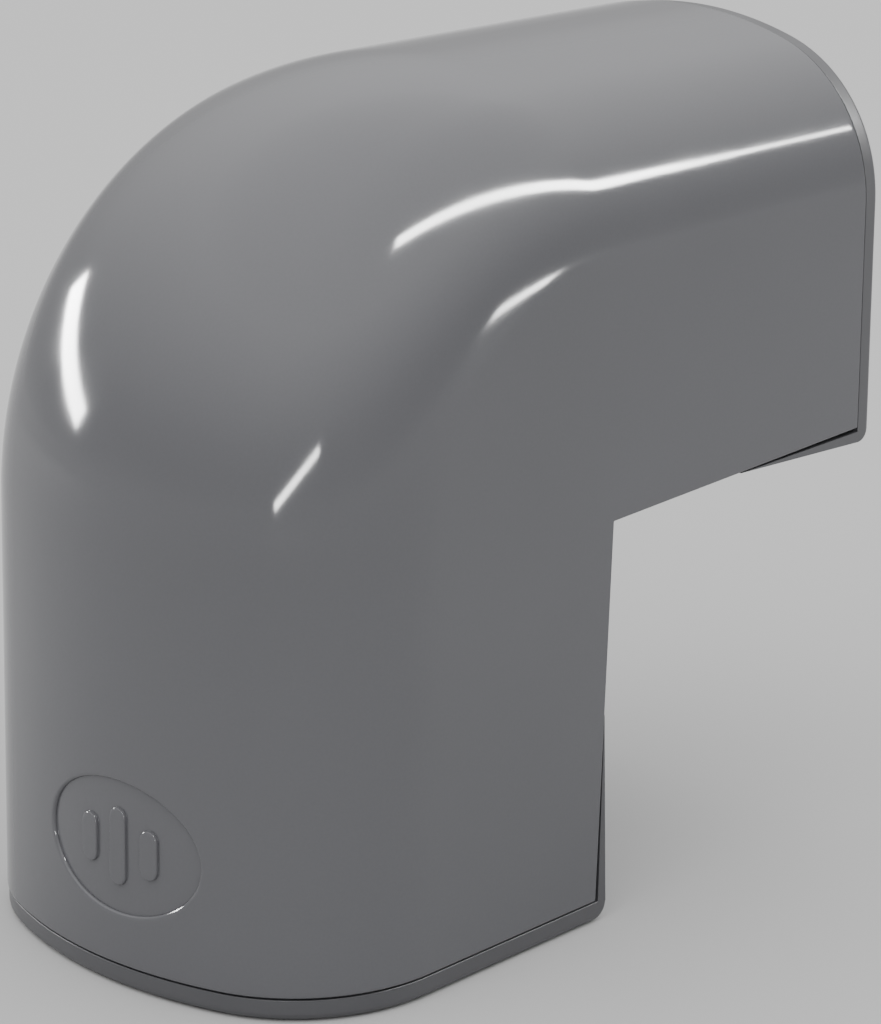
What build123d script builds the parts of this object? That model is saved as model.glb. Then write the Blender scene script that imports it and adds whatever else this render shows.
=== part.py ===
from build123d import *
import math
import os

# Outside-corner elbow for D-section PVC surface conduit, in millimetres.
# The origin is the wall's own corner, midway across the elbow. The wall fills x > 0, z < 0:
# one leg runs down the wall face x = 0, the other runs out along the wall face z = 0.
# Almost every piece is built on the lower leg and mirrored in the plane x + z = 0.
# "Run" is a distance along a leg, "height" a distance away from its wall, "across" is along Y.

# Shell
WIDTH = 76.0  # outside width
BEND_RADIUS = 61.2  # bend centre to the outside of the crown
CENTRE_STANDOFF = 0.6  # bend centre's distance from each wall face
SIDE_HEIGHT = 34.4  # straight part of the D's sides, from the bend centre
CROWN_RADIUS = 65.6  # radius of the D's top
LEG_RUN = 59.0  # wall corner to a mouth, which is square to the wall
LEAN = 2.0  # degrees by which each leg opens away from its wall
EDGE_LEAN = 3.0  # degrees between the cover's wall edge and the wall
COVER_WALL = 2.4
BLANK_CORE = 4.0  # radius inside which plain blocks fill the bend
BLANK_RUN = 80.0  # legs of a blank, before they are cut to length
REACH = 90.0  # more than the elbow's own size

# End collars
FIT_GAP = 0.3  # cover to sleeve, all round
COLLAR_WALL = 1.8
SLEEVE_LENGTH = 34.0
RIM_LENGTH = 3.0  # rim past the cover's end
RIM_STEP = 0.25  # rim's outside below the cover's
RIM_ROUND = 1.8  # rim's corner beside the wall

# Base
PLATE = 2.5
BASE_HALF_WIDTH = 32.9
BASE_RUN = 56.0
RAIL_WALL = 2.0
RAIL_HEIGHT = 14.0
RAIL_RUN = 39.5
RAIL_ROUND = 9.0
WALL_SLOT_SPACING = 26.0
WALL_SLOT_LENGTH = 9.0
WALL_SLOT_RADIUS = 2.25
WALL_SLOT_RUN = 44.0

# Gasket in the base's back
GASKET_DEPTH = 1.0
GASKET_WIDTH = 2.5
GASKET_INSET = 1.6
GASKET_START = 5.0
SEAT_GAP = 0.05  # between a loose insert and its seat

# Collar screws and their bosses
BOSS_RADIUS = 3.6
BOSS_HEIGHT = 5.5
BOSS_RUN = 50.0
BOSS_ACROSS = 26.5
FOOT_LENGTH = 9.0
FOOT_THICKNESS = 2.0
SCREW_RADIUS = 1.45
SCREW_LENGTH = 6.0
SCREW_HEAD_RADIUS = 2.8
SCREW_HEAD_HEIGHT = 1.9
SCREW_HEAD_ROUND = 0.9
SCREW_SLOT_WIDTH = 0.7
SCREW_SLOT_DEPTH = 1.0

# Mouth seal
SEAL_THICKNESS = 2.0
SEAL_LENGTH = 4.0
SEAL_SETBACK = 5.0

# Cable saddle over the corner
GUIDE_RADIUS = 18.0
GUIDE_RAMP = 35.0  # degrees that the curve goes on past square, into each ramp
GUIDE_WALL = 2.0
GUIDE_HALF_WIDTH = 30.0
GUIDE_RIBS = (-18.0, 0.0, 18.0)

# Cover clips and the ledges they hold
CLIP_RUN = 16.0
CLIP_LENGTH = 8.0
CLIP_WALL = 0.6
CLIP_BULGE = 1.5
CLIP_FLOOR = 4.5
LEDGE_LENGTH = 8.0
LEDGE_DEPTH = 1.1
LEDGE_TOP = 8.6
LEDGE_THICKNESS = 1.6

# Hinged cable strap
STRAP_RUN = 31.0
STRAP_WIDTH = 9.0
STRAP_THICKNESS = 2.4
STRAP_CLEARANCE = 0.3  # closed strap's underside above the rail
STRAP_END = 31.9
LIP_ACROSS = 29.1
LIP_WALL = 1.1
LIP_DEPTH = 4.0
HINGE_ACROSS = -29.6
HINGE_HEIGHT = 16.8
KNUCKLE_RADIUS = 2.4
PIN_RADIUS = 1.0
PIN_CLEARANCE = 0.05
PIN_HEAD_RADIUS = 1.8
PIN_HEAD_LENGTH = 0.8
EAR_WALL = 2.4
EAR_GAP = 0.35

# Badge
BADGE_RUN = 41.6
BADGE_ACROSS = -4.9
BADGE_HALF_WIDTH = 14.0
BADGE_HALF_HEIGHT = 9.4
BADGE_RECESS = 0.5  # plate's face below the shell's surface
BADGE_THICKNESS = 0.8
BADGE_GAP = 0.12
MARK_HEIGHT = 0.45
MARK_WIDTH = 3.0
MARK_PITCH = 5.6
MARK_LENGTHS = (7.0, 11.0, 7.0)

CENTRE = (-CENTRE_STANDOFF, CENTRE_STANDOFF)
OUTER_INSET = COVER_WALL + FIT_GAP  # the sleeve's outside, from the shell's outside
INNER_INSET = OUTER_INSET + COLLAR_WALL  # the sleeve's inside


def lean_point(run, height):
    """XZ point of the leaning lower leg, measured from the bend centre."""
    a = math.radians(LEAN)
    x = CENTRE[0] - height * math.cos(a) - run * math.sin(a)
    z = CENTRE[1] + height * math.sin(a) - run * math.cos(a)
    return (x, z)


def wall_point(run, height):
    """XZ point of the lower leg, measured square to the wall from its corner."""
    return (-height, -run)


def reflect(points):
    """XZ points carried over to the other leg."""
    return [(-z, -x) for x, z in points]


def other_leg(part):
    """The same piece on the other leg."""
    return mirror(part, about=Plane(origin=(0, 0, 0), z_dir=(1, 0, 1)))


def edge_point(run, gap=0.0):
    """XZ point of the cover's lower wall edge, or of a parallel line nearer the wall."""
    return wall_point(run, run * math.tan(math.radians(EDGE_LEAN)) - gap)


def side_prism(points, half_width=REACH, middle=0.0):
    """Prism across Y from an outline in the XZ plane."""
    face = make_face(Plane.XZ * Polyline(*points, close=True))
    return Pos(0, middle, 0) * extrude(face, amount=half_width, both=True)


def leg_slice(start, end, height):
    """Everything between two runs of the lower leg, above a height."""
    near = [wall_point(start, height), wall_point(end, height)]
    return side_prism(near + [wall_point(end, REACH), wall_point(start, REACH)])


def facing_wall(run, across, height=0.0):
    """Plane square to the lower wall face, looking out, with its X axis across the leg."""
    x, z = wall_point(run, height)
    return Plane(origin=(x, across, z), x_dir=(0, 1, 0), z_dir=(-1, 0, 0))


def d_profile(inset):
    """D outline in the lower leg's section plane, inset from the shell's outside."""
    half = WIDTH / 2
    rise = CROWN_RADIUS - (BEND_RADIUS - SIDE_HEIGHT)
    shoulder = (CROWN_RADIUS**2 - half**2 - rise**2) / (2 * (CROWN_RADIUS - half))
    a = half - inset
    side_top = (a, SIDE_HEIGHT)
    join = math.atan2(half - shoulder, rise)
    arc = [
        (
            half - shoulder + (shoulder - inset) * math.sin(angle),
            SIDE_HEIGHT + (shoulder - inset) * math.cos(angle),
        )
        for angle in ((math.pi / 2 + join) / 2, join)
    ]
    left = [(-x, y) for x, y in arc]
    outline = Polyline((-a, SIDE_HEIGHT), (-a, BLANK_CORE), (a, BLANK_CORE), side_top)
    outline += ThreePointArc(side_top, arc[0], arc[1])
    outline += ThreePointArc(arc[1], (0, BEND_RADIUS - inset), left[1])
    outline += ThreePointArc(left[1], left[0], (-a, SIDE_HEIGHT))
    lean = math.radians(LEAN)
    section = Plane(
        origin=(CENTRE[0], 0, CENTRE[1]),
        x_dir=(0, 1, 0),
        z_dir=(math.sin(lean), 0, math.cos(lean)),
    )
    return section * make_face(outline)


def blank(inset):
    """Solid elbow of D section, with legs longer than needed that also run into the wall."""
    profile = d_profile(inset)
    leg = extrude(profile, amount=-BLANK_RUN)
    axis = Axis((CENTRE[0], 0, CENTRE[1]), (0, 1, 0))
    bend = revolve(profile, axis=axis, revolution_arc=90 - 2 * LEAN)
    reach = 1.5 * BLANK_CORE
    lower = [lean_point(0, reach), lean_point(BLANK_RUN, reach), lean_point(BLANK_RUN, -reach)]
    outline = lower + [(reach, -reach)] + reflect(lower[::-1])
    core = side_prism(outline, WIDTH / 2 - inset)
    return leg + other_leg(leg) + bend + core


def badge_front():
    """Plane on the lower leg's centre surface, looking out through the badge."""
    x, z = lean_point(BADGE_RUN, 0)
    lean = math.radians(LEAN)
    outward = (-math.cos(lean), 0, math.sin(lean))
    return Plane(origin=(x, BADGE_ACROSS, z), x_dir=(0, 1, 0), z_dir=outward)


def badge_oval(grow):
    """Oval prism out through the front of the lower leg."""
    oval = Ellipse(BADGE_HALF_WIDTH + grow, BADGE_HALF_HEIGHT + grow)
    return extrude(badge_front() * oval, amount=REACH)


def clip_ledge(side):
    """Rib inside the cover's side wall that the lower leg's clip holds."""
    half = LEDGE_LENGTH / 2
    points = [
        wall_point(CLIP_RUN - half, LEDGE_TOP),
        wall_point(CLIP_RUN + half, LEDGE_TOP),
        wall_point(CLIP_RUN + half, LEDGE_TOP - LEDGE_THICKNESS),
        wall_point(CLIP_RUN - half, LEDGE_TOP - LEDGE_THICKNESS),
    ]
    inner = WIDTH / 2 - COVER_WALL - LEDGE_DEPTH
    outer = WIDTH / 2 - COVER_WALL / 2
    return side_prism(points, (outer - inner) / 2, side * (outer + inner) / 2)


def make_cover():
    """Glossy cover with an oval badge recess outside and clip ledges inside."""
    end = LEG_RUN - RIM_LENGTH - FIT_GAP
    mouth = [edge_point(end), wall_point(end, REACH)]
    trim = side_prism([(0, 0)] + mouth + [(-REACH, REACH)] + reflect(mouth[::-1]))
    shell = (blank(0) & trim) - blank(COVER_WALL)
    shell -= badge_oval(0) - blank(BADGE_RECESS + BADGE_THICKNESS)
    for side in (-1, 1):
        ledge = clip_ledge(side)
        shell += [ledge, other_leg(ledge)]
    return shell


def make_badge():
    """Oval plate in the recess, with raised bars."""
    bottom = blank(BADGE_RECESS + BADGE_THICKNESS - SEAT_GAP)
    plate = (badge_oval(-BADGE_GAP) & blank(BADGE_RECESS)) - bottom
    for index, length in enumerate(MARK_LENGTHS):
        across = (index - 1) * MARK_PITCH
        bar = badge_front() * Pos(across, 0, 0) * RectangleRounded(MARK_WIDTH, length, MARK_WIDTH / 3)
        prism = extrude(bar, amount=REACH)
        plate += (prism & blank(BADGE_RECESS - MARK_HEIGHT)) - bottom
    return plate


def collar_foot(side):
    """Screw tab from the sleeve's side wall onto a boss of the base."""
    half = FOOT_LENGTH / 2
    top = BOSS_HEIGHT + FOOT_THICKNESS
    points = [
        wall_point(BOSS_RUN - half, BOSS_HEIGHT),
        wall_point(BOSS_RUN + half, BOSS_HEIGHT),
        wall_point(BOSS_RUN + half, top),
        wall_point(BOSS_RUN - half, top),
    ]
    inner = BOSS_ACROSS - half
    outer = WIDTH / 2 - OUTER_INSET - COLLAR_WALL / 2
    return side_prism(points, (outer - inner) / 2, side * (outer + inner) / 2)


def foot_cylinder(side, radius, low, high):
    """Cylinder on a foot screw's axis, between two heights from the wall."""
    face = facing_wall(BOSS_RUN, side * BOSS_ACROSS, low)
    return extrude(face * Circle(radius), amount=high - low)


def make_collar():
    """D sleeve in the lower mouth, with a stepped rim round the end and beside the wall."""
    outside = blank(RIM_STEP)
    rim_start = LEG_RUN - RIM_LENGTH
    sleeve = blank(OUTER_INSET) & leg_slice(rim_start - SLEEVE_LENGTH, LEG_RUN, CENTRE_STANDOFF)
    rim = outside & leg_slice(rim_start, LEG_RUN, CENTRE_STANDOFF)
    strip_start = (CENTRE_STANDOFF + FIT_GAP) / math.tan(math.radians(EDGE_LEAN))
    corner = wall_point(LEG_RUN, CENTRE_STANDOFF)
    triangle = [wall_point(strip_start, CENTRE_STANDOFF), corner, edge_point(LEG_RUN, FIT_GAP)]
    collar = (sleeve + rim + (outside & side_prism(triangle))) - blank(INNER_INSET)
    for side in (-1, 1):
        collar += collar_foot(side)
        collar -= foot_cylinder(side, SCREW_RADIUS + SEAT_GAP, BOSS_HEIGHT, REACH / 2)
        rim_corner = (corner[0], side * (WIDTH / 2 - RIM_STEP), corner[1])
        edge = collar.edges().filter_by(Axis.Y).sort_by_distance(rim_corner)[0]
        collar = fillet(edge, RIM_ROUND)
    return collar


def make_screws():
    """The two slotted pan-head screws of the lower collar."""
    top = BOSS_HEIGHT + FOOT_THICKNESS
    screws = []
    for side in (-1, 1):
        head = foot_cylinder(side, SCREW_HEAD_RADIUS, top, top + SCREW_HEAD_HEIGHT)
        head = fillet(head.edges().group_by(Axis.X)[0], SCREW_HEAD_ROUND)
        shank = foot_cylinder(side, SCREW_RADIUS, top - SCREW_LENGTH, top)
        face = facing_wall(BOSS_RUN, side * BOSS_ACROSS, top + SCREW_HEAD_HEIGHT)
        slot = face * Box(2 * SCREW_HEAD_RADIUS, SCREW_SLOT_WIDTH, 2 * SCREW_SLOT_DEPTH)
        screws.append(head + shank - slot)
    return screws


def make_seal():
    """Soft D strip inside the lower mouth that grips the conduit."""
    end = LEG_RUN - SEAL_SETBACK
    band = leg_slice(end - SEAL_LENGTH, end, BOSS_HEIGHT + FOOT_THICKNESS + SEAT_GAP)
    return (blank(INNER_INSET + SEAT_GAP) & band) - blank(INNER_INSET + SEAL_THICKNESS)


def gasket_ring(grow):
    """Rectangular ring in the back of the vertical plate."""
    half = BASE_HALF_WIDTH - GASKET_INSET + grow
    length = BASE_RUN - GASKET_INSET - GASKET_START + 2 * grow
    band = 2 * (GASKET_WIDTH + 2 * grow)
    back = facing_wall((BASE_RUN - GASKET_INSET + GASKET_START) / 2, 0)
    ring = Rectangle(2 * half, length) - Rectangle(2 * half - band, length - band)
    return extrude(back * ring, amount=GASKET_DEPTH + grow)


def corner_outline(height, run):
    """Side view of an L of one height on both wall faces."""
    lower = [(0, -run), (-height, -run), (-height, height)]
    return lower + [(run, height), (run, 0), (0, 0)]


def make_rail(side):
    """Upright rail along one edge of the base, rounded where it turns the corner."""
    middle = side * (BASE_HALF_WIDTH - RAIL_WALL / 2)
    rail = side_prism(corner_outline(RAIL_HEIGHT, RAIL_RUN), RAIL_WALL / 2, middle)
    corner = rail.edges().filter_by(Axis.Y).sort_by_distance((-RAIL_HEIGHT, middle, RAIL_HEIGHT))
    return fillet(corner[0], RAIL_ROUND)


def hinge_cylinder(radius, length, shift=0.0):
    """Cylinder on the lower strap's hinge axis, which runs along the leg."""
    x, z = wall_point(STRAP_RUN + shift, HINGE_HEIGHT)
    return Pos(x, HINGE_ACROSS, z) * Cylinder(radius, length)


def hinge_ears():
    """Two ears on the lower leg's rail that hold the strap's pin."""
    radius = BASE_HALF_WIDTH + HINGE_ACROSS
    foot = RAIL_HEIGHT - RAIL_WALL
    shift = (STRAP_WIDTH + EAR_WALL) / 2 + EAR_GAP
    ears = []
    for way in (-1, 1):
        x, z = wall_point(STRAP_RUN + way * shift, (foot + HINGE_HEIGHT) / 2)
        block = Pos(x, HINGE_ACROSS, z) * Box(HINGE_HEIGHT - foot, 2 * radius, EAR_WALL)
        ears.append(block + hinge_cylinder(radius, EAR_WALL, way * shift))
    return ears


def leg_cuts():
    """What the lower leg of the base has cut out of it."""
    cuts = [gasket_ring(SEAT_GAP), hinge_cylinder(PIN_RADIUS, 2 * STRAP_WIDTH)]
    for side in (-1, 1):
        slot = SlotOverall(WALL_SLOT_LENGTH, 2 * WALL_SLOT_RADIUS)
        face = facing_wall(WALL_SLOT_RUN, side * WALL_SLOT_SPACING / 2)
        cuts.append(extrude(face * slot, amount=PLATE))
        pilot_floor = BOSS_HEIGHT + FOOT_THICKNESS - SCREW_LENGTH - SEAT_GAP
        cuts.append(foot_cylinder(side, SCREW_RADIUS + SEAT_GAP, pilot_floor, BOSS_HEIGHT))
    return cuts


def make_base():
    """L-shaped base with side rails, screwed to both wall faces."""
    base = side_prism(corner_outline(PLATE, BASE_RUN), BASE_HALF_WIDTH)
    for side in (-1, 1):
        base += make_rail(side)
    bosses = [foot_cylinder(side, BOSS_RADIUS, PLATE / 2, BOSS_HEIGHT) for side in (-1, 1)]
    for piece in bosses + hinge_ears():
        base += [piece, other_leg(piece)]
    for cut in leg_cuts():
        base -= [cut, other_leg(cut)]
    return base


def guide_side(radius, half_width, middle=0.0):
    """Prism of the saddle's side view: a rounded nose and two ramps down to the plates."""
    ramp = math.radians(GUIDE_RAMP)
    join = (radius * math.sin(ramp), radius * math.cos(ramp))
    foot = (radius / math.sin(ramp), 0)
    nose = (-radius * math.sqrt(0.5), radius * math.sqrt(0.5))
    other_join, other_foot = reflect([join, foot])
    outline = ThreePointArc(other_join, nose, join) + Polyline(join, foot, (0, 0), other_foot, other_join)
    face = make_face(Plane.XZ * outline)
    return Pos(0, middle, 0) * extrude(face, amount=half_width, both=True)


def make_guide():
    """Saddle that keeps cables from bending tightly over the wall's corner."""
    saddle = guide_side(GUIDE_RADIUS, GUIDE_HALF_WIDTH)
    saddle -= guide_side(GUIDE_RADIUS - GUIDE_WALL, GUIDE_HALF_WIDTH)
    for across in GUIDE_RIBS:
        saddle += guide_side(GUIDE_RADIUS, GUIDE_WALL / 2, across)
    return saddle - side_prism(corner_outline(PLATE + SEAT_GAP, REACH))


def clip_face(thickness):
    """Across-and-height points of the spring leaf's face at a depth in its thickness."""
    inner = BASE_HALF_WIDTH - RAIL_WALL - SEAT_GAP - thickness
    outer = BASE_HALF_WIDTH + SEAT_GAP + thickness
    top = RAIL_HEIGHT + SEAT_GAP + thickness
    crest = LEDGE_TOP + CLIP_BULGE
    bulge = [(outer, crest + CLIP_BULGE), (outer + CLIP_BULGE, crest), (outer, LEDGE_TOP - thickness)]
    return [(inner, CLIP_FLOOR), (inner, top), (outer, top)] + bulge + [(outer, CLIP_FLOOR)]


def make_clips():
    """The lower leg's two spring leaves, folded over the rails."""
    clips = []
    for side in (-1, 1):
        section = Plane(origin=(0, 0, -CLIP_RUN), x_dir=(0, side, 0), z_dir=(0, 0, side))
        outline = Polyline(*clip_face(CLIP_WALL), *clip_face(0)[::-1], close=True)
        clips.append(extrude(section * make_face(outline), amount=CLIP_LENGTH / 2, both=True))
    return clips


def make_strap():
    """Cable strap that hinges on the near rail and rests over the far one."""
    low = RAIL_HEIGHT + STRAP_CLEARANCE
    high = low + STRAP_THICKNESS
    lip = LIP_ACROSS + LIP_WALL
    points = [
        (HINGE_ACROSS, low),
        (LIP_ACROSS, low),
        (LIP_ACROSS, low - LIP_DEPTH),
        (lip, low - LIP_DEPTH),
        (lip, low),
        (STRAP_END, low),
        (STRAP_END, high),
        (HINGE_ACROSS, high),
    ]
    section = Plane(origin=(0, 0, -STRAP_RUN), x_dir=(0, 1, 0), z_dir=(0, 0, 1))
    strap = extrude(section * make_face(Polyline(*points, close=True)), amount=STRAP_WIDTH / 2, both=True)
    strap += hinge_cylinder(KNUCKLE_RADIUS, STRAP_WIDTH)
    return strap - hinge_cylinder(PIN_RADIUS + PIN_CLEARANCE, 2 * STRAP_WIDTH)


def make_pin():
    """Hinge pin with a head at each end."""
    length = STRAP_WIDTH + 2 * (EAR_GAP + EAR_WALL)
    pin = hinge_cylinder(PIN_RADIUS, length)
    for way in (-1, 1):
        pin += hinge_cylinder(PIN_HEAD_RADIUS, PIN_HEAD_LENGTH, way * (length + PIN_HEAD_LENGTH) / 2)
    return pin


def save(name, solids):
    """Writes one named piece, or a group of identical ones, as STEP."""
    pieces = list(solids) if isinstance(solids, (list, tuple)) else [solids]
    shape = pieces[0] if len(pieces) == 1 else Compound(children=pieces)
    export_step(shape, f"parts/{name}.step")


def both_legs(name, piece):
    """Writes a lower-leg piece and its twin on the side leg."""
    pieces = piece if isinstance(piece, list) else [piece]
    save(f"lower_{name}", pieces)
    save(f"side_{name}", [other_leg(p) for p in pieces])


os.makedirs("parts", exist_ok=True)
save("cover_shell", make_cover())
save("badge_plate", make_badge())
save("corner_base", make_base())
save("bend_guide", make_guide())
both_legs("end_collar", make_collar())
both_legs("collar_screws", make_screws())
both_legs("mouth_seal", make_seal())
both_legs("wall_gasket", gasket_ring(0))
both_legs("cover_clips", make_clips())
both_legs("cable_strap", make_strap())
both_legs("strap_pin", make_pin())
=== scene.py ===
import math

import bmesh
import bpy
from mathutils import Matrix, Vector


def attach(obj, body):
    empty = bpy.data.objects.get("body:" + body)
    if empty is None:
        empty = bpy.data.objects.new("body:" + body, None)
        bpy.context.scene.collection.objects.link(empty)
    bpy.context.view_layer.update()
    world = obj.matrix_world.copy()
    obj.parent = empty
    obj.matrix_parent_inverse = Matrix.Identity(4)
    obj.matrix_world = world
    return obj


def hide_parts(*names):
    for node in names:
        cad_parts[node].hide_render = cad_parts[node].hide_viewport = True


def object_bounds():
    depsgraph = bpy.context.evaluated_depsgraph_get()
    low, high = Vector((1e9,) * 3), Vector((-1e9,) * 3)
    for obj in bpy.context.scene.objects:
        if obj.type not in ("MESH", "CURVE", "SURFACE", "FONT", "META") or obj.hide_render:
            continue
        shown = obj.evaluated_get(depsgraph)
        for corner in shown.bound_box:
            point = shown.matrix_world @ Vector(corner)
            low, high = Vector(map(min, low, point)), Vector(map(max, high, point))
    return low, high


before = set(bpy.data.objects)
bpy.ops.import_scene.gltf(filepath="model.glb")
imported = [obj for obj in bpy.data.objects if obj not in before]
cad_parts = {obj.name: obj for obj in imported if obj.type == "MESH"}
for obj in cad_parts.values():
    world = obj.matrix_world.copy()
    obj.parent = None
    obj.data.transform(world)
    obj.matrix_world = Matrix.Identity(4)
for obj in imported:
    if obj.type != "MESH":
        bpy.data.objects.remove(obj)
CAD_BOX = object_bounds()
MM = 0.001

# Sizes in millimetres. The CAD model has the same main sizes; small roundings are added here.
WIDTH = 76.0
BEND_RADIUS = 61.2
CENTRE_STANDOFF = 0.6
SIDE_HEIGHT = 34.4
CROWN_RADIUS = 65.6
LEG_RUN = 59.0
LEAN = math.radians(2.0)
EDGE_LEAN = math.radians(3.0)
COVER_WALL = 2.4
FIT_GAP = 0.3
COLLAR_WALL = 1.8
SLEEVE_LENGTH = 34.0
SLEEVE_TAPER = 1.05  # how far the sleeve's start is drawn back from the wall
RIM_LENGTH = 3.0
RIM_STEP = 0.25  # rim below the cover's surface
RIM_ROUND = 1.8  # rounding of the rim's corners at the wall
RIM_FALL = 1.1  # rounding of the rim's outer end edge
STRIP_CLEAR = 0.7  # gap between the cover's edge and the strip beside the wall, at the rim
STRIP_PROUD = 0.01  # keeps the strip's side off the rim's
MOULD_ROUND = 0.3  # small radius on the cover's edges
COLLAR_EDGE = 0.1  # small radius on the collars' edges
GASKET_EDGE = 0.25  # small radius on the foam's edges
CREASE = math.radians(50)  # edges sharper than this are rounded, or else stay crisp

# Cover's clip ledges
LEDGE_RUN = 16.0
LEDGE_LENGTH = 8.0
LEDGE_DEPTH = 1.1
LEDGE_TOP = 8.6
LEDGE_THICKNESS = 1.6

# Collar's screw feet
FOOT_RUN = 50.0
FOOT_LENGTH = 9.0
FOOT_INNER = 22.0
FOOT_LOW = 5.5
FOOT_THICKNESS = 2.0

# Soft strips
SEAL_SETBACK = 5.0
SEAL_LENGTH = 4.0
SEAL_THICKNESS = 2.0
SEAL_FOOT = 7.6
SEAL_RIBS = 3
SEAL_VALLEY = 0.45  # share of the seal's thickness between two ribs
SEAL_RISE = 0.5  # share added at a rib's top
SEAT_GAP = 0.05
GASKET_HALF_WIDTH = 31.3
GASKET_START = 5.0
GASKET_END = 54.4
GASKET_WIDTH = 2.5
GASKET_DEPTH = 1.0

# Badge on the lower leg's front
BADGE_RUN = 41.6
BADGE_ACROSS = -4.9
BADGE_HALF_WIDTH = 14.0
BADGE_HALF_HEIGHT = 9.4
BADGE_RECESS = 0.5
BADGE_THICKNESS = 0.8
BADGE_GAP = 0.02  # narrower than the CAD model's
BADGE_MARGIN = 2.6  # plain shell kept round the recess for its ring of faces
RECESS_ROUND = 0.45
POCKET_FLOOR = 1.5  # width of the recess floor's outer ring of faces
MARK_HEIGHT = 0.45
MARK_WIDTH = 3.0
MARK_PITCH = 5.6
MARK_LENGTHS = (7.0, 11.0, 7.0)
MARK_EASE = 0.2  # rounding of the bars' upper edges
MARK_TOP = 0.7  # how far the flat top's inner outline lies inside a bar
MARK_SPREAD = 0.1  # how much wider a bar is at its foot
MARK_ROOT = 0.2  # how deep the foot is sunk into the plate

# Mesh fineness
SLIVER = 0.001  # edges shorter than this are merged away
SUPPORT = 0.6  # flat strip under each shoulder that keeps the flat sides' shading flat
BEND_STEPS = 48
SHOULDER_STEPS = 24
CROWN_STEP = 1.0
EDGE_STEPS = 3  # faces across a rounded edge
MOUTH_STEPS = 4  # rows from the mouth to the badge's patch
PATCH_STEPS = 24  # rows beside the patch
LEG_STEPS = 12  # rows from the patch to the bend
PATCH_SHARES = (0.3, 0.6, 0.85)  # rings of faces between the patch's border and the recess

HALF = WIDTH / 2
CENTRE = (-CENTRE_STANDOFF, CENTRE_STANDOFF)
CROWN_FOOT = BEND_RADIUS - CROWN_RADIUS
SIDE_RISE = SIDE_HEIGHT - CROWN_FOOT
SHOULDER_RADIUS = (CROWN_RADIUS**2 - HALF**2 - SIDE_RISE**2) / (2 * (CROWN_RADIUS - HALF))
JOIN = math.atan2(HALF - SHOULDER_RADIUS, SIDE_RISE)
COVER_END = LEG_RUN - RIM_LENGTH - FIT_GAP


# ---------------------------------------------------------------- shape of the shell

def spread(low, high, steps):
    """Evenly spaced values from low to high, both included."""
    return [low + (high - low) * i / steps for i in range(steps + 1)]


def quarter(steps=5):
    """Quarter round of radius 1, as (distance from the side, distance from the top)."""
    return [(1 - math.sin(turn), 1 - math.cos(turn)) for turn in spread(0, math.pi / 2, steps)]


def other_leg(xz):
    """XZ point carried over to the other leg."""
    return (-xz[1], -xz[0])


def leg_xz(height, run):
    """XZ of a point of the leaning lower leg, from the bend centre."""
    x = CENTRE[0] - height * math.cos(LEAN) - run * math.sin(LEAN)
    z = CENTRE[1] + height * math.sin(LEAN) - run * math.cos(LEAN)
    return (x, z)


def run_to(height, end):
    """Run along the leaning leg at which a height meets the level plane below the corner."""
    return (CENTRE[1] + height * math.sin(LEAN) + end) / math.cos(LEAN)


def leg_row(share, end):
    """Row across the lower leg, a share of the way from the bend to a mouth plane."""
    return lambda height: leg_xz(height, share * run_to(height, end))


def bend_row(angle):
    """Row across the bend."""
    return lambda height: (
        CENTRE[0] - height * math.cos(angle),
        CENTRE[1] + height * math.sin(angle),
    )


def shifted(row):
    """The same row on the other leg."""
    return lambda height: other_leg(row(height))


def crown_angles():
    """Angles across the crown, with lines at both ends of the badge's patch."""
    edge = math.asin((BADGE_ACROSS + BADGE_HALF_WIDTH + BADGE_MARGIN) / CROWN_RADIUS)
    first = round(CROWN_RADIUS * (JOIN + edge) / CROWN_STEP)
    second = round(CROWN_RADIUS * (JOIN - edge) / CROWN_STEP)
    return spread(-JOIN, edge, first) + spread(edge, JOIN, second)[1:], first


CROWN_ANGLES, PATCH_COLUMNS = crown_angles()


def section(inset):
    """Across-and-height points of the D's curved part, with a flat strip at each end."""
    shoulder = [
        (
            HALF - SHOULDER_RADIUS + (SHOULDER_RADIUS - inset) * math.sin(angle),
            SIDE_HEIGHT + (SHOULDER_RADIUS - inset) * math.cos(angle),
        )
        for angle in spread(math.pi / 2, JOIN, SHOULDER_STEPS)[:-1]
    ]
    side = [(HALF - inset, SIDE_HEIGHT - SUPPORT)] + shoulder
    radius = CROWN_RADIUS - inset
    crown = [(radius * math.sin(a), CROWN_FOOT + radius * math.cos(a)) for a in CROWN_ANGLES]
    return [(-y, h) for y, h in side] + crown + side[::-1]


def crown_point(across, run, depth=0.0):
    """Point on the lower leg's crown, a depth below its surface."""
    angle = math.asin(across / CROWN_RADIUS)
    radius = CROWN_RADIUS - depth
    x, z = leg_xz(CROWN_FOOT + radius * math.cos(angle), run)
    return Vector((x, radius * math.sin(angle), z))


# ---------------------------------------------------------------- mesh building

def even_shading(piece):
    """Keeps flat faces evenly shaded beside their rounded edges."""
    normals = piece.modifiers.new("normals", "WEIGHTED_NORMAL")
    normals.weight = 50
    normals.keep_sharp = True


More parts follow.
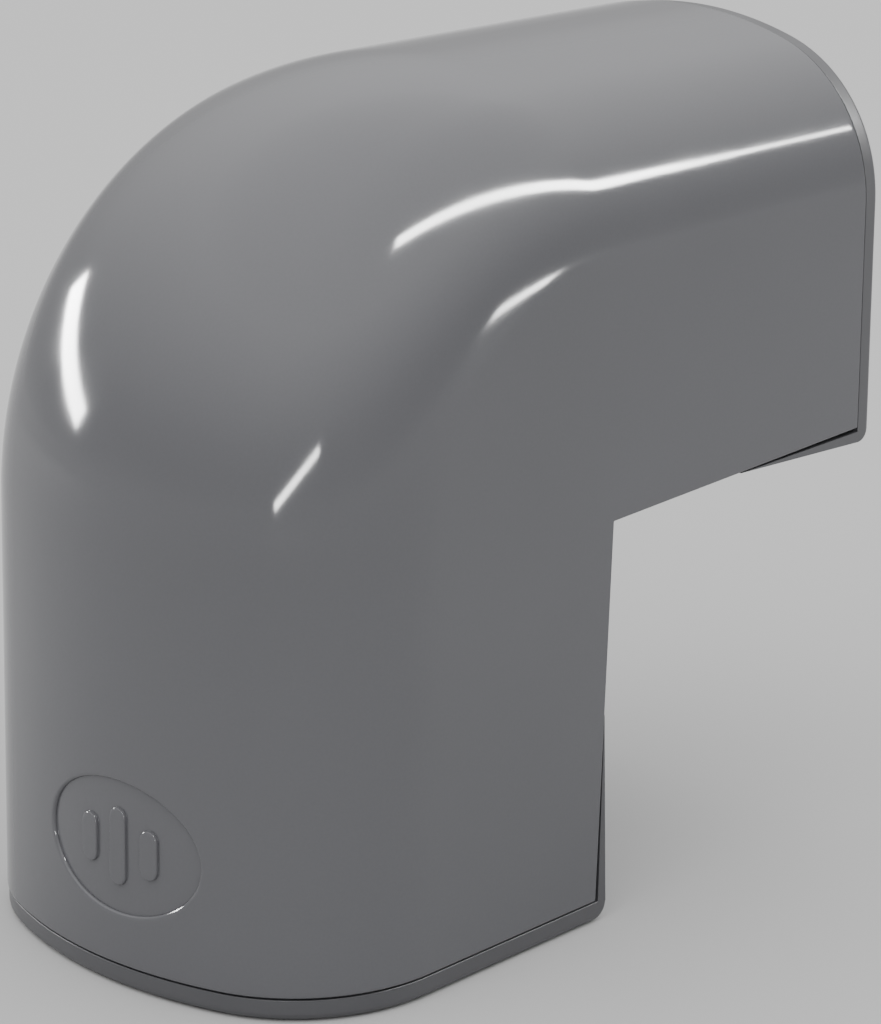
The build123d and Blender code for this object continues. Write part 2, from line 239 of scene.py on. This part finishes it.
class Mesh:
    """Collects vertices in millimetres and faces, and makes one object of them."""

    def __init__(self):
        self.bm = bmesh.new()

    def vert(self, x, y, z):
        return self.bm.verts.new((x * MM, y * MM, z * MM))

    def row(self, points):
        return [self.vert(*p) for p in points]

    def face(self, verts):
        return self.bm.faces.new(verts)

    def skin(self, rows, closed=False, skip=None):
        """Quads between rows of equal length."""
        for i, (low, high) in enumerate(zip(rows, rows[1:])):
            count = len(low) if closed else len(low) - 1
            for j in range(count):
                k = (j + 1) % len(low)
                if skip is None or not skip(i, j):
                    self.face((low[j], low[k], high[k], high[j]))

    def block(self, low, high):
        """Box between two corners."""
        made = bmesh.ops.create_cube(self.bm, size=1.0)["verts"]
        low, high = Vector(low) * MM, Vector(high) * MM
        for v in made:
            v.co = Vector(low[i] + (v.co[i] + 0.5) * (high[i] - low[i]) for i in range(3))

    def prism(self, outline, start, end):
        """Prism along Y from XZ points."""
        ends = [self.row([(x, y, z) for x, z in outline]) for y in (start, end)]
        self.skin(ends, closed=True)
        self.face(ends[0])
        self.face(ends[1])

    def round_edges(self, radius):
        bmesh.ops.recalc_face_normals(self.bm, faces=self.bm.faces)
        self.bm.normal_update()
        sharp = [e for e in self.bm.edges if e.is_manifold and e.calc_face_angle(0) > CREASE]
        bmesh.ops.bevel(
            self.bm,
            geom=sharp,
            offset=radius * MM,
            segments=EDGE_STEPS,
            profile=0.5,
            affect="EDGES",
            clamp_overlap=False,
        )

    def finish(self, name, body, slot, *nodes):
        bmesh.ops.dissolve_degenerate(self.bm, dist=SLIVER * MM, edges=self.bm.edges)
        bmesh.ops.recalc_face_normals(self.bm, faces=self.bm.faces)
        data = bpy.data.meshes.new(name)
        for face in self.bm.faces:
            face.smooth = True
        for edge in self.bm.edges:
            edge.smooth = edge.calc_face_angle(math.pi) < CREASE
        self.bm.to_mesh(data)
        self.bm.free()
        piece = bpy.data.objects.new(name, data)
        bpy.context.collection.objects.link(piece)
        even_shading(piece)
        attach(piece, body)
        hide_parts(*nodes)
        return piece


def mirrored_copy(piece, name, body, slot, *nodes):
    """The same piece on the other leg."""
    data = piece.data.copy()
    swap = Matrix(((0, 0, -1, 0), (0, 1, 0, 0), (-1, 0, 0, 0), (0, 0, 0, 1)))
    data.transform(swap)
    data.flip_normals()
    twin = bpy.data.objects.new(name, data)
    bpy.context.collection.objects.link(twin)
    even_shading(twin)
    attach(twin, body)
    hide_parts(*nodes)
    return twin


# ---------------------------------------------------------------- cover

def cover_rows():
    """Rows of the cover from the lower mouth round to the far one, and the patch's rows."""
    whole = run_to(BEND_RADIUS, COVER_END)
    near = (BADGE_RUN + BADGE_HALF_HEIGHT + BADGE_MARGIN) / whole
    far = (BADGE_RUN - BADGE_HALF_HEIGHT - BADGE_MARGIN) / whole
    mouth = spread(1, near, MOUTH_STEPS)
    patch = spread(near, far, PATCH_STEPS)[1:]
    rest = spread(far, 0, LEG_STEPS)[1:]
    shares = mouth + patch + rest
    lower = [leg_row(share, COVER_END) for share in shares]
    bend = [bend_row(a) for a in spread(LEAN, math.pi / 2 - LEAN, BEND_STEPS)[1:-1]]
    side = [shifted(row) for row in lower[::-1]]
    return lower + bend + side, len(mouth) - 1, len(mouth) + len(patch) - 1


def onto_oval(across, run, grow):
    """Point of the badge's oval, grown by an offset, that faces a point of the patch's border."""
    angle = math.atan2(
        (run - BADGE_RUN) / (BADGE_HALF_HEIGHT + BADGE_MARGIN),
        (across - BADGE_ACROSS) / (BADGE_HALF_WIDTH + BADGE_MARGIN),
    )
    y = BADGE_ACROSS + (BADGE_HALF_WIDTH + grow) * math.cos(angle)
    r = BADGE_RUN + (BADGE_HALF_HEIGHT + grow) * math.sin(angle)
    return y, r


def badge_ring(mesh, border, grow, depth):
    """Ring round the badge's oval, one vertex for each one of the patch's border."""
    return mesh.row(crown_point(*onto_oval(*place, grow), depth) for place in border)


def badge_pocket(mesh, grid, rows, first_row, last_row, first_column):
    """Fills the patch left in the shell with a rounded oval recess."""
    last_column = first_column + PATCH_COLUMNS
    path = [(first_row, c) for c in range(first_column, last_column)]
    path += [(r, last_column) for r in range(first_row, last_row)]
    path += [(last_row, c) for c in range(last_column, first_column, -1)]
    path += [(r, first_column) for r in range(last_row, first_row, -1)]
    profile = section(0)
    border = []
    for r, c in path:
        x, z = rows[r](profile[c][1])
        run = (CENTRE[0] - x) * math.sin(LEAN) + (CENTRE[1] - z) * math.cos(LEAN)
        border.append((profile[c][0], run))
    rings = [[grid[r][c] for r, c in path]]
    for share in PATCH_SHARES:
        ring = []
        for across, run in border:
            y, r = onto_oval(across, run, RECESS_ROUND)
            ring.append(crown_point(across + (y - across) * share, run + (r - run) * share))
        rings.append(mesh.row(ring))
    for aside, below in quarter():
        rings.append(badge_ring(mesh, border, RECESS_ROUND * aside, RECESS_ROUND * below))
    floor_depth = BADGE_RECESS + BADGE_THICKNESS
    rings.append(badge_ring(mesh, border, 0, floor_depth))
    rings.append(badge_ring(mesh, border, -POCKET_FLOOR, floor_depth))
    mesh.skin(rings, closed=True)
    mesh.face(rings[-1])


def make_cover():
    """Smooth D shell round the corner, with the badge's recess and the clip ledges."""
    mesh = Mesh()
    rows, first_row, last_row = cover_rows()
    first_column = SHOULDER_STEPS + 1
    outer, inner = [
        [mesh.row([(row(h)[0], y, row(h)[1]) for y, h in section(inset)]) for row in rows]
        for inset in (0, COVER_WALL)
    ]

    def in_patch(i, j):
        columns = first_column <= j < first_column + PATCH_COLUMNS
        return columns and first_row <= i < last_row

    mesh.skin(outer, skip=in_patch)
    mesh.skin(inner)
    badge_pocket(mesh, outer, rows, first_row, last_row, first_column)
    low = (-COVER_END * math.tan(EDGE_LEAN), -COVER_END)
    for end, side in ((0, -1), (-1, 1)):
        feet = [
            mesh.row([(x, side * (HALF - inset), z) for x, z in (low, (0, 0), other_leg(low))])
            for inset in (0, COVER_WALL)
        ]
        for grid, foot in zip((outer, inner), feet):
            mesh.face([row[end] for row in grid] + foot[::-1])
        mesh.skin(feet)
        for row, foot in ((0, 0), (-1, -1)):
            mesh.face((outer[row][end], feet[0][foot], feet[1][foot], inner[row][end]))
    mesh.skin([outer[0], inner[0]])
    mesh.skin([outer[-1], inner[-1]])
    mesh.round_edges(MOULD_ROUND)
    half = LEDGE_LENGTH / 2
    for side in (-1, 1):
        across = sorted((side * (HALF - COVER_WALL - LEDGE_DEPTH), side * (HALF - COVER_WALL / 2)))
        near = (-LEDGE_TOP, across[0], -LEDGE_RUN - half)
        far = (LEDGE_THICKNESS - LEDGE_TOP, across[1], half - LEDGE_RUN)
        mesh.block(near, far)
        mesh.block((-far[2], near[1], -far[0]), (-near[2], far[1], -near[0]))
    return mesh.finish("cover_moulding", "cover", "cover_pvc", "cover_shell")


def oval_ring(mesh, share, depth, count=112):
    """Oval a share of the badge's size, lying a depth below the crown."""
    points = []
    for i in range(count):
        angle = 2 * math.pi * i / count
        y = BADGE_ACROSS + (BADGE_HALF_WIDTH - BADGE_GAP) * share * math.cos(angle)
        r = BADGE_RUN + (BADGE_HALF_HEIGHT - BADGE_GAP) * share * math.sin(angle)
        points.append(crown_point(y, r, depth))
    return mesh.row(points)


def rounded_bar(across, length, grow, depth):
    """Outline of one bar, with half-round ends, lying on the crown."""
    radius = MARK_WIDTH / 2 + grow
    reach = length / 2 - MARK_WIDTH / 2
    points = []
    for side in (1, -1):
        for turn in spread(0, math.pi, 16):
            end = side * (reach + radius * math.sin(turn))
            y = BADGE_ACROSS + across + side * radius * math.cos(turn)
            points.append(crown_point(y, BADGE_RUN + end, depth))
    return points


def make_badge():
    """Oval plate with three plain raised bars."""
    mesh = Mesh()
    rings = [oval_ring(mesh, share, BADGE_RECESS) for share in spread(0.05, 1, 12)]
    rings.append(oval_ring(mesh, 1, BADGE_RECESS + BADGE_THICKNESS - SEAT_GAP))
    mesh.skin(rings, closed=True)
    mesh.face(rings[0])
    mesh.face(rings[-1])
    top, root = BADGE_RECESS - MARK_HEIGHT, BADGE_RECESS + MARK_ROOT
    for index, length in enumerate(MARK_LENGTHS):
        across = (index - 1) * MARK_PITCH
        bar = [mesh.row(rounded_bar(across, length, -MARK_TOP, top))]
        for aside, below in quarter(4):
            outline = rounded_bar(across, length, -MARK_EASE * aside, top + MARK_EASE * below)
            bar.append(mesh.row(outline))
        bar.append(mesh.row(rounded_bar(across, length, MARK_SPREAD, root)))
        mesh.skin(bar, closed=True)
        mesh.face(bar[0])
        mesh.face(bar[-1])
    return mesh.finish("badge_oval", "cover", "badge_pvc", "badge_plate")


# ---------------------------------------------------------------- collars, seals, gaskets

def level_row(inset, end, foot, corner_round):
    """Row of a collar in a level plane, from one wall edge over the crown to the other."""
    near = [(-foot - RIM_ROUND * below, corner_round * aside - end) for aside, below in quarter()]
    row = leg_row(1, end)
    half = HALF - inset
    over = [(row(h)[0], y, row(h)[1]) for y, h in section(inset)]
    left = [(x, -half, z) for x, z in near]
    right = [(x, half, z) for x, z in near[::-1]]
    return left + over + right


def swept(mesh, outline, foot, corner_round=0.0, taper=0.0):
    """Closed sweep of (inset, end) points round the D, its wall edges drawn back by a taper."""
    last = max(end for _, end in outline)
    rows = []
    for inset, end in outline:
        rounding = corner_round if end > last - RIM_FALL - SLIVER else 0.0
        back = taper * max(0.0, last - RIM_LENGTH - end) / SLEEVE_LENGTH
        rows.append(mesh.row(level_row(inset, end, foot + back, rounding)))
    mesh.skin(rows + rows[:1])
    for end in (0, -1):
        if taper:
            mesh.face([row[end] for row in rows[:2] + rows[-2:]])
            mesh.face([row[end] for row in rows[1:-1]])
        else:
            mesh.face([row[end] for row in rows])


def make_collar():
    """D sleeve with a stepped rim, the strips beside the wall and two screw feet."""
    mesh = Mesh()
    sleeve = COVER_WALL + FIT_GAP
    inside = sleeve + COLLAR_WALL
    start = LEG_RUN - RIM_LENGTH
    fall = [(RIM_STEP + RIM_FALL * a, LEG_RUN - RIM_FALL * b) for a, b in quarter()]
    outline = [
        (inside, start - SLEEVE_LENGTH),
        (inside, start),
        (inside, LEG_RUN),
        *fall,
        (RIM_STEP, start),
        (sleeve, start),
        (sleeve, start - SLEEVE_LENGTH),
    ]
    swept(mesh, outline, CENTRE_STANDOFF, RIM_ROUND, SLEEVE_TAPER)
    mesh.round_edges(COLLAR_EDGE)
    slope = math.tan(EDGE_LEAN)
    fall_back = SLEEVE_TAPER / SLEEVE_LENGTH
    tip = (CENTRE_STANDOFF + fall_back * start) / (slope + fall_back)
    base = start + MOULD_ROUND
    strip = [
        (FIT_GAP / 2 - tip * slope, -tip),
        (-CENTRE_STANDOFF, -base),
        (STRIP_CLEAR - base * slope, -base),
    ]
    for side in (-1, 1):
        flush = HALF - RIM_STEP + STRIP_PROUD
        across = sorted((side * (HALF - sleeve - COLLAR_WALL / 2), side * flush))
        mesh.prism(strip, *across)
        across = sorted((side * FOOT_INNER, side * (HALF - sleeve - COLLAR_WALL / 2)))
        low = (-FOOT_LOW - FOOT_THICKNESS, across[0], -FOOT_RUN - FOOT_LENGTH / 2)
        high = (-FOOT_LOW, across[1], FOOT_LENGTH / 2 - FOOT_RUN)
        mesh.block(low, high)
    return mesh.finish("lower_collar", "base", "collar_pvc", "lower_end_collar")


def make_seal():
    """Ribbed D strip inside the mouth."""
    mesh = Mesh()
    back = COVER_WALL + FIT_GAP + COLLAR_WALL + SEAT_GAP
    end = LEG_RUN - SEAL_SETBACK
    ribs = []
    for share in spread(0, 1, 8 * SEAL_RIBS):
        wave = 0.5 + 0.5 * math.cos(2 * math.pi * SEAL_RIBS * (share - 0.5 / SEAL_RIBS))
        depth = SEAL_THICKNESS * (SEAL_VALLEY + SEAL_RISE * wave)
        ribs.append((back + depth, end - SEAL_LENGTH * share))
    swept(mesh, [(back, end)] + ribs + [(back, end - SEAL_LENGTH)], SEAL_FOOT)
    return mesh.finish("lower_seal_strip", "base", "seal_rubber", "lower_mouth_seal")


def make_gasket():
    """Foam ring in the back of the lower plate, with eased edges."""
    mesh = Mesh()
    rings = []
    deep, wide = GASKET_DEPTH, GASKET_WIDTH
    for inset, depth in ((0, 0), (0, deep), (wide, deep), (wide, 0)):
        half = GASKET_HALF_WIDTH - inset
        low, high = -GASKET_END + inset, -GASKET_START - inset
        corners = ((-half, low), (half, low), (half, high), (-half, high))
        rings.append(mesh.row([(-depth, y, z) for y, z in corners]))
    mesh.skin(rings + rings[:1], closed=True)
    mesh.round_edges(GASKET_EDGE)
    return mesh.finish("lower_foam_ring", "base", "gasket_foam", "lower_wall_gasket")


cover = make_cover()
badge = make_badge()
lower_collar = make_collar()
side_collar = mirrored_copy(lower_collar, "side_collar", "base", "collar_pvc", "side_end_collar")
lower_seal = make_seal()
side_seal = mirrored_copy(lower_seal, "side_seal_strip", "base", "seal_rubber", "side_mouth_seal")
lower_gasket = make_gasket()
side_gasket = mirrored_copy(
    lower_gasket, "side_foam_ring", "base", "gasket_foam", "side_wall_gasket"
)


# ---------------------------------------------------------------- materials

# Noise scales are per metre, heights and depths of relief in metres.
FLOW_SCALE = 22.0
FLOW_TINT = 0.02
SPECK_SCALE = 2600.0
RUB_SCALE = 55.0
PEEL_SCALE = 60.0
PEEL_HEIGHT = 0.00003
GRAIN_SCALE = 1900.0
GRAIN_HEIGHT = 0.0000006
BLOOM_SCALE = 180.0
PORE_DEPTH = 0.0001
TARNISH_SCALE = 260.0
LINE_SCALE = 900.0
LINE_DEPTH = 0.000006


class Nodes:
    """Small helper round one material's node tree."""

    def __init__(self, name):
        self.material = bpy.data.materials.new(name)
        self.material.use_nodes = True
        self.tree = self.material.node_tree
        self.shader = self.tree.nodes["Principled BSDF"]
        self.coords = self.tree.nodes.new("ShaderNodeTexCoord").outputs["Object"]

    def link(self, a, b):
        self.tree.links.new(a, b)

    def noise(self, scale, detail=2.0, roughness=0.5, stretch=None):
        node = self.tree.nodes.new("ShaderNodeTexNoise")
        node.inputs["Scale"].default_value = scale
        node.inputs["Detail"].default_value = detail
        node.inputs["Roughness"].default_value = roughness
        source = self.coords
        if stretch:
            mapping = self.tree.nodes.new("ShaderNodeMapping")
            mapping.inputs["Scale"].default_value = stretch
            self.link(source, mapping.inputs["Vector"])
            source = mapping.outputs["Vector"]
        self.link(source, node.inputs["Vector"])
        return node.outputs["Fac"]

    def ramp(self, factor, stops):
        node = self.tree.nodes.new("ShaderNodeValToRGB")
        elements = node.color_ramp.elements
        for element, (place, colour) in zip(elements, (stops[0], stops[-1])):
            element.position = place
            element.color = (*colour, 1)
        for place, colour in stops[1:-1]:
            elements.new(place).color = (*colour, 1)
        self.link(factor, node.inputs["Fac"])
        return node.outputs["Color"]

    def spread(self, factor, low, high, start=0.3, end=0.7):
        node = self.tree.nodes.new("ShaderNodeMapRange")
        limits = {"From Min": start, "From Max": end, "To Min": low, "To Max": high}
        for name, value in limits.items():
            node.inputs[name].default_value = value
        self.link(factor, node.inputs["Value"])
        return node.outputs["Result"]

    def multiply(self, a, b):
        node = self.tree.nodes.new("ShaderNodeMix")
        node.data_type = "RGBA"
        node.blend_type = "MULTIPLY"
        node.inputs[0].default_value = 1.0
        self.link(a, node.inputs[6])
        self.link(b, node.inputs[7])
        return node.outputs[2]

    def bump(self, height, distance, strength=1.0, below=None):
        node = self.tree.nodes.new("ShaderNodeBump")
        node.inputs["Strength"].default_value = strength
        node.inputs["Distance"].default_value = distance
        self.link(height, node.inputs["Height"])
        if below:
            self.link(below, node.inputs["Normal"])
        return node.outputs["Normal"]


def scaled(colour, factor):
    return tuple(min(1.0, c * factor) for c in colour)


def plastic(name, colour, roughness, texture=1.0):
    """Moulded plastic: faint flow marks, pigment specks, orange peel and rubbed patches."""
    n = Nodes(name)
    cloud = n.noise(FLOW_SCALE, 3.0)
    dark, light = scaled(colour, 1 - FLOW_TINT), scaled(colour, 1 + FLOW_TINT)
    base = n.ramp(cloud, [(0.35, dark), (0.65, light)])
    specks = n.spread(n.noise(SPECK_SCALE, 1.0), 0.988, 1.012, 0.35, 0.65)
    speck_colour = n.tree.nodes.new("ShaderNodeCombineColor")
    for socket in range(3):
        n.link(specks, speck_colour.inputs[socket])
    base = n.multiply(base, speck_colour.outputs[0])
    n.link(base, n.shader.inputs["Base Color"])
    rub = n.noise(RUB_SCALE, 4.0, 0.65)
    n.link(n.spread(rub, roughness * 0.8, roughness * 1.3), n.shader.inputs["Roughness"])
    ripple = n.bump(n.noise(PEEL_SCALE, 1.0), PEEL_HEIGHT)
    grain = n.bump(n.noise(GRAIN_SCALE, 2.0), GRAIN_HEIGHT * texture, below=ripple)
    n.link(grain, n.shader.inputs["Normal"])
    n.shader.inputs["IOR"].default_value = 1.5
    return n.material


def rubber(name, colour, roughness, pore):
    """Rubber or foam with fine pores and a dusty bloom."""
    n = Nodes(name)
    bloom = n.noise(BLOOM_SCALE, 4.0, 0.6)
    tone = n.ramp(bloom, [(0.3, colour), (0.75, scaled(colour, 1.7))])
    n.link(tone, n.shader.inputs["Base Color"])
    n.link(n.spread(bloom, roughness - 0.08, roughness + 0.08), n.shader.inputs["Roughness"])
    cells = n.tree.nodes.new("ShaderNodeTexVoronoi")
    cells.inputs["Scale"].default_value = pore
    n.link(n.coords, cells.inputs["Vector"])
    n.link(n.bump(cells.outputs["Distance"], PORE_DEPTH, 0.6), n.shader.inputs["Normal"])
    return n.material


def metal(name, colour, roughness, grain):
    """Drawn or plated steel with fine lines and slight tarnish."""
    n = Nodes(name)
    tarnish = n.noise(TARNISH_SCALE, 4.0, 0.6)
    tone = n.ramp(tarnish, [(0.3, scaled(colour, 0.82)), (0.7, colour)])
    n.link(tone, n.shader.inputs["Base Color"])
    lines = n.noise(LINE_SCALE, 3.0, 0.6, stretch=grain)
    n.link(n.spread(lines, roughness * 0.7, roughness * 1.4), n.shader.inputs["Roughness"])
    n.link(n.bump(lines, LINE_DEPTH), n.shader.inputs["Normal"])
    n.shader.inputs["Metallic"].default_value = 1.0
    return n.material


GREY = (0.1075, 0.108, 0.117)
cover_pvc = plastic("cover_pvc", GREY, 0.085)
badge_pvc = plastic("badge_pvc", GREY, 0.14, texture=2.0)
# The collars' grey is the cover's darkened to 0.68: painted shade standing in for the shadow under
# the cover's edge on the rim band
collar_pvc = plastic("collar_pvc", scaled(GREY, 0.68), 0.34, texture=8.0)
base_pvc = plastic("base_pvc", (0.13, 0.137, 0.143), 0.36, texture=30.0)
guide_pvc = plastic("guide_pvc", (0.14, 0.147, 0.152), 0.40, texture=30.0)
strap_nylon = plastic("strap_nylon", (0.36, 0.37, 0.37), 0.42, texture=40.0)
seal_rubber = rubber("seal_rubber", (0.012, 0.012, 0.013), 0.62, 5200.0)
gasket_foam = rubber("gasket_foam", (0.022, 0.022, 0.024), 0.85, 2400.0)
spring_steel = metal("spring_steel", (0.52, 0.53, 0.55), 0.26, (1.0, 1.0, 0.05))
screw_zinc = metal("screw_zinc", (0.66, 0.67, 0.69), 0.22, (1.0, 1.0, 1.0))
pin_steel = metal("pin_steel", (0.58, 0.59, 0.60), 0.24, (1.0, 1.0, 1.0))


def dress(piece, material):
    piece.data.materials.clear()
    piece.data.materials.append(material)


dress(cover, cover_pvc)
dress(badge, badge_pvc)
for piece in (lower_collar, side_collar):
    dress(piece, collar_pvc)
for piece in (lower_seal, side_seal):
    dress(piece, seal_rubber)
for piece in (lower_gasket, side_gasket):
    dress(piece, gasket_foam)
CARRIED = {
    "corner_base": base_pvc,
    "bend_guide": guide_pvc,
    "lower_cable_strap": strap_nylon,
    "side_cable_strap": strap_nylon,
    "lower_collar_screws": screw_zinc,
    "side_collar_screws": screw_zinc,
    "lower_cover_clips": spring_steel,
    "side_cover_clips": spring_steel,
    "lower_strap_pin": pin_steel,
    "side_strap_pin": pin_steel,
}
for node, material in CARRIED.items():
    dress(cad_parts[node], material)


# ---------------------------------------------------------------- stage, lights, camera

FLOOR_SIZE = 14.0
FLOOR_DROP = 0.0002  # metres below the lower mouth
FLOOR_GREY = 0.5
SKY_PEAK = 4.0  # scales the sky's levels into the ramp's range
BRIGHT_SIDE = (-1, -0.3, 0.5)
SIDE_LEVEL = 0.2  # radiance added on the bright side
SIDE_POWER = 1.5  # how tightly it is gathered
LIGHT_DISTANCE = 1.3  # metres from the elbow to a strip light
SKY_LEVELS = (  # height above the horizon, radiance
    (0.0, 0.7),
    (0.06, 0.56),
    (0.15, 0.52),
    (0.25, 0.64),
    (0.45, 1.16),
    (0.7, 1.9),
    (1.0, 2.0),
)


def make_floor():
    low, _ = CAD_BOX
    bpy.ops.mesh.primitive_plane_add(size=FLOOR_SIZE, location=(0, 0, low.z - FLOOR_DROP))
    floor = bpy.context.object
    floor.name = "floor"
    n = Nodes("floor")
    tone = n.noise(3.0, 3.0)
    grey = (FLOOR_GREY,) * 3
    n.link(n.ramp(tone, [(0.3, scaled(grey, 0.99)), (0.7, grey)]), n.shader.inputs["Base Color"])
    n.shader.inputs["Roughness"].default_value = 0.9
    n.shader.inputs["Specular IOR Level"].default_value = 0.1
    floor.data.materials.append(n.material)


def strip_light(name, start, end, width, radiance):
    """Straight tube light between two directions seen from the elbow, for its reflection only."""
    a, b = (Vector(v).normalized() * LIGHT_DISTANCE for v in (start, end))
    middle, along = (a + b) / 2, (b - a)
    data = bpy.data.lights.new(name, "AREA")
    data.shape = "RECTANGLE"
    data.size, data.size_y = along.length, width
    data.energy = radiance * math.pi * data.size * data.size_y
    light = bpy.data.objects.new(name, data)
    bpy.context.collection.objects.link(light)
    x = along.normalized()
    z = (middle - x * middle.dot(x)).normalized()
    light.visible_diffuse = False
    turn = Matrix((x, z.cross(x), z)).transposed().to_4x4()
    light.matrix_world = Matrix.Translation(middle) @ turn


def studio_sky(levels, side, side_level):
    """Soft surroundings: radiance by height, brightened smoothly towards one side."""
    world = bpy.data.worlds.new("studio")
    world.use_nodes = True
    tree = world.node_tree

    def chain(source, *steps):
        for operation, value in steps:
            node = tree.nodes.new("ShaderNodeMath")
            node.operation = operation
            tree.links.new(source, node.inputs[0])
            if isinstance(value, bpy.types.NodeSocket):
                tree.links.new(value, node.inputs[1])
            else:
                node.inputs[1].default_value = value
            source = node.outputs[0]
        return source

    coords = tree.nodes.new("ShaderNodeTexCoord").outputs["Generated"]
    height = tree.nodes.new("ShaderNodeSeparateXYZ")
    tree.links.new(coords, height.inputs[0])
    ramp = tree.nodes.new("ShaderNodeValToRGB")
    ramp.color_ramp.interpolation = "LINEAR"
    elements = ramp.color_ramp.elements
    for _ in levels[2:]:
        elements.new(0.5)
    for element, (place, level) in zip(elements, levels):
        element.position = place
        element.color = (level / SKY_PEAK,) * 3 + (1,)
    tree.links.new(height.outputs["Z"], ramp.inputs["Fac"])
    dot = tree.nodes.new("ShaderNodeVectorMath")
    dot.operation = "DOT_PRODUCT"
    dot.inputs[1].default_value = Vector(side).normalized()
    tree.links.new(coords, dot.inputs[0])
    facing = dot.outputs["Value"]
    aside = chain(facing, ("MAXIMUM", 0.0), ("POWER", SIDE_POWER), ("MULTIPLY", side_level))
    total = chain(ramp.outputs["Color"], ("MULTIPLY", SKY_PEAK), ("ADD", aside))
    background = tree.nodes["Background"]
    background.inputs["Color"].default_value = (1, 1, 1, 1)
    tree.links.new(total, background.inputs["Strength"])
    bpy.context.scene.world = world


CAMERA_AZIMUTH = math.radians(-45.767)
CAMERA_ELEVATION = math.radians(16.107)
CAMERA_ROLL = math.radians(-0.145)
CAMERA_DISTANCE = 429.9
CAMERA_RIGHT = 4.03  # camera's shift beside its line to the aim
CAMERA_UP = -6.84
CAMERA_AIM = 1.18  # aim's distance from each wall face
FOCAL_LENGTH = 103.461328125
SENSOR = 36.0


def make_camera():
    az, el = CAMERA_AZIMUTH, CAMERA_ELEVATION
    back = Vector((math.sin(az) * math.cos(el), -math.cos(az) * math.cos(el), math.sin(el)))
    right = Vector((math.cos(az), math.sin(az), 0))
    up = back.cross(right)
    c, s = math.cos(CAMERA_ROLL), math.sin(CAMERA_ROLL)
    right, up = right * c + up * s, up * c - right * s
    aim = Vector((-CAMERA_AIM, 0, CAMERA_AIM))
    place = aim + back * CAMERA_DISTANCE + right * CAMERA_RIGHT + up * CAMERA_UP
    data = bpy.data.cameras.new("camera")
    data.sensor_width = SENSOR
    data.lens = FOCAL_LENGTH
    data.clip_start, data.clip_end = 0.01, 30
    cam = bpy.data.objects.new("camera", data)
    bpy.context.collection.objects.link(cam)
    turn = Matrix((right, up, back)).transposed().to_4x4()
    cam.matrix_world = Matrix.Translation(place * MM) @ turn
    bpy.context.scene.camera = cam


make_floor()
studio_sky(SKY_LEVELS, BRIGHT_SIDE, SIDE_LEVEL)
# Each strip light: its two end directions, width in metres and radiance
strip_light("arc_strip", (-0.17, -0.45, 0.88), (0.716, -0.527, 0.458), 0.08, 95.0)
strip_light("leg_strip", (0.716, -0.527, 0.458), (0.737, -0.509, 0.443), 0.05, 80.0)
strip_light("thin_strip", (0.737, -0.509, 0.443), (0.79, -0.467, 0.395), 0.026, 60.0)
strip_light("back_strip", (-0.12, 0.945, 0.29), (-0.57, 0.812, 0.11), 0.10, 80.0)
strip_light("right_strip", (0.49, -0.87, 0.085), (0.65, -0.76, 0.0), 0.04, 60.0)
strip_light("front_strip", (-0.907, -0.42, 0.04), (-0.67, -0.71, 0.23), 0.05, 60.0)
make_camera()
